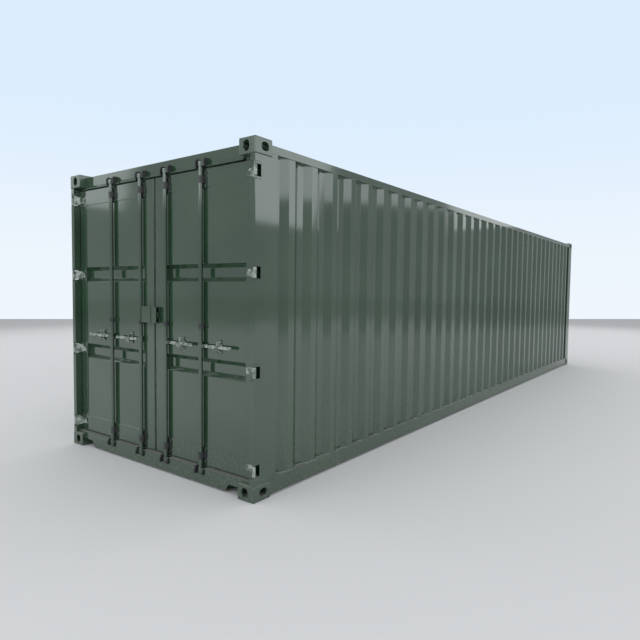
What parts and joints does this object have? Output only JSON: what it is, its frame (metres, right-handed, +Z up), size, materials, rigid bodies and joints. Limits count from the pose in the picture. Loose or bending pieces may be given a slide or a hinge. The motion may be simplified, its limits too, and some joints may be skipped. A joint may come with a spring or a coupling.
{
  "type": "steel shipping container",
  "caption": "Long corrugated steel freight container with two hinged doors, turning locking bars with handles, a plywood floor and hollow corner castings.",
  "frame": {"origin": "middle of the footprint, on the ground under the corner castings", "axes": "+X to the right and +Y away from the doors as one faces them, +Z up; the doors are at -Y"},
  "size_m": [2.438, 9.754, 2.591],
  "materials": {
    "frame_paint": "dark green gloss",
    "sheet_paint": "dark green gloss on corrugated sheet",
    "door_gear_paint": "dark green gloss, worn at the edges",
    "door_rubber": "matt black",
    "plywood_floor": "varnished plywood"
  },
  "bodies": {
    "container": {"blind_end_top_castings": "frame_paint", "blind_end_bottom_castings": "frame_paint", "door_end_top_castings": "frame_paint", "door_end_bottom_castings": "frame_paint", "left_door_post": "frame_paint", "right_door_post": "frame_paint", "left_blind_post": "frame_paint", "right_blind_post": "frame_paint", "left_top_rail": "frame_paint", "right_top_rail": "frame_paint", "left_bottom_rail": "frame_paint", "right_bottom_rail": "frame_paint", "left_side_wall": "sheet_paint", "right_side_wall": "sheet_paint", "front_wall": "sheet_paint", "roof": "sheet_paint", "door_header": "frame_paint", "drip_strip": "frame_paint", "door_sill": "frame_paint", "sill_face": "frame_paint", "blind_end_header": "frame_paint", "blind_end_sill": "frame_paint", "floor": "plywood_floor", "cross_members": "frame_paint", "left_hinge_lugs": "door_gear_paint", "right_hinge_lugs": "door_gear_paint", "bar_keepers": "door_gear_paint"},
    "left_door": {"left_door_frame": "frame_paint", "left_door_panel": "frame_paint", "left_door_gasket": "door_rubber", "left_hinge_blades": "door_gear_paint", "left_bar_brackets": "door_gear_paint", "left_lock_box": "frame_paint"},
    "left_inner_bar": {"left_inner_bar": "door_gear_paint"},
    "left_inner_handle": {"left_inner_handle": "door_gear_paint"},
    "left_outer_bar": {"left_outer_bar": "door_gear_paint"},
    "left_outer_handle": {"left_outer_handle": "door_gear_paint"},
    "right_door": {"right_door_frame": "frame_paint", "right_door_panel": "frame_paint", "right_door_gasket": "door_rubber", "right_hinge_blades": "door_gear_paint", "right_bar_brackets": "door_gear_paint", "right_lock_box": "frame_paint"},
    "right_inner_bar": {"right_inner_bar": "door_gear_paint"},
    "right_inner_handle": {"right_inner_handle": "door_gear_paint"},
    "right_outer_bar": {"right_outer_bar": "door_gear_paint"},
    "right_outer_handle": {"right_outer_handle": "door_gear_paint"}
  },
  "joints": [
    {"name": "left_door_swing", "type": "hinge", "parent": "container", "child": "left_door", "pos_m": [-1.207, -4.863, 1.2945], "axis": [0, 0, -1], "range_deg": [0, 270]},
    {"name": "left_inner_bar_turn", "type": "hinge", "parent": "left_door", "child": "left_inner_bar", "pos_m": [-0.17, -4.833, 1.09], "axis": [0, 0, -1], "range_deg": [-100, 0]},
    {"name": "left_inner_handle_lift", "type": "hinge", "parent": "left_inner_bar", "child": "left_inner_handle", "pos_m": [-0.208, -4.833, 1.09], "axis": [0, 1, 0], "range_deg": [0, 20]},
    {"name": "left_outer_bar_turn", "type": "hinge", "parent": "left_door", "child": "left_outer_bar", "pos_m": [-0.605, -4.833, 1.09], "axis": [0, 0, -1], "range_deg": [-100, 0]},
    {"name": "left_outer_handle_lift", "type": "hinge", "parent": "left_outer_bar", "child": "left_outer_handle", "pos_m": [-0.643, -4.833, 1.09], "axis": [0, 1, 0], "range_deg": [0, 20]},
    {"name": "right_door_swing", "type": "hinge", "parent": "container", "child": "right_door", "pos_m": [1.207, -4.863, 1.2945], "axis": [0, 0, 1], "range_deg": [0, 270]},
    {"name": "right_inner_bar_turn", "type": "hinge", "parent": "right_door", "child": "right_inner_bar", "pos_m": [0.17, -4.833, 1.09], "axis": [0, 0, 1], "range_deg": [-100, 0]},
    {"name": "right_inner_handle_lift", "type": "hinge", "parent": "right_inner_bar", "child": "right_inner_handle", "pos_m": [0.208, -4.833, 1.09], "axis": [0, -1, 0], "range_deg": [0, 20]},
    {"name": "right_outer_bar_turn", "type": "hinge", "parent": "right_door", "child": "right_outer_bar", "pos_m": [0.605, -4.833, 1.09], "axis": [0, 0, 1], "range_deg": [-100, 0]},
    {"name": "right_outer_handle_lift", "type": "hinge", "parent": "right_outer_bar", "child": "right_outer_handle", "pos_m": [0.643, -4.833, 1.09], "axis": [0, -1, 0], "range_deg": [0, 20]}
  ]
}
